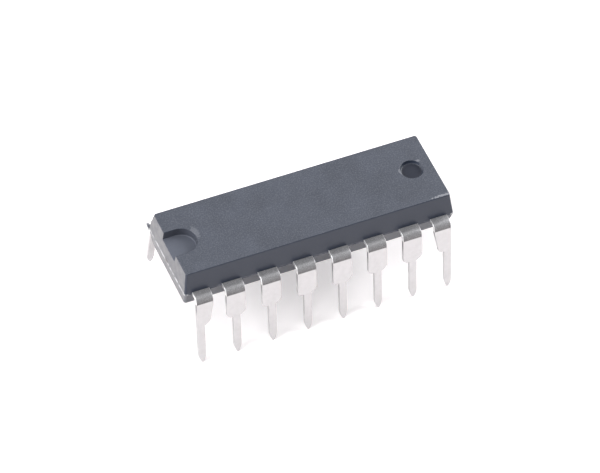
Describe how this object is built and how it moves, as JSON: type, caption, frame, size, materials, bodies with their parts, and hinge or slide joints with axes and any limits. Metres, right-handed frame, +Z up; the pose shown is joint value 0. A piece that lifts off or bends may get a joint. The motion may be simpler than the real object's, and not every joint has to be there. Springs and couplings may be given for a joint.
{
  "type": "dual in-line chip package",
  "caption": "Moulded dual in-line chip package with two rows of bent, splayed leads, an index notch in one end and an ejector-pin mark near the other.",
  "frame": {"origin": "under the middle of the body, level with the tips of the leads it stands on", "axes": "+X along the body, away from the index notch; +Y across the rows, towards leads 9 to 16; +Z up through the top face"},
  "size_m": [0.0194, 0.0096, 0.0071],
  "materials": {
    "moulding_compound": "dark slate-grey filled epoxy with a fine spark-eroded mould texture",
    "plated_lead": "satin tin plating on copper alloy strip, bright along the sheared edges",
    "bare_copper": "bare rolled copper alloy",
    "die_adhesive": "silver-filled epoxy, cured",
    "silicon": "opaque polished silicon with a glassy top layer",
    "gold_wire": "drawn gold wire"
  },
  "bodies": {
    "root": {"moulded_body": "moulding_compound", "die_pad": "bare_copper", "die_attach": "die_adhesive", "die": "silicon", "lead_01": "plated_lead", "lead_02": "plated_lead", "lead_03": "plated_lead", "lead_04": "plated_lead", "lead_05": "plated_lead", "lead_06": "plated_lead", "lead_07": "plated_lead", "lead_08": "plated_lead", "lead_09": "plated_lead", "lead_10": "plated_lead", "lead_11": "plated_lead", "lead_12": "plated_lead", "lead_13": "plated_lead", "lead_14": "plated_lead", "lead_15": "plated_lead", "lead_16": "plated_lead", "bond_wire_01": "gold_wire", "bond_wire_02": "gold_wire", "bond_wire_03": "gold_wire", "bond_wire_04": "gold_wire", "bond_wire_05": "gold_wire", "bond_wire_06": "gold_wire", "bond_wire_07": "gold_wire", "bond_wire_08": "gold_wire", "bond_wire_09": "gold_wire", "bond_wire_10": "gold_wire", "bond_wire_11": "gold_wire", "bond_wire_12": "gold_wire", "bond_wire_14": "gold_wire", "bond_wire_15": "gold_wire"}
  },
  "joints": []
}
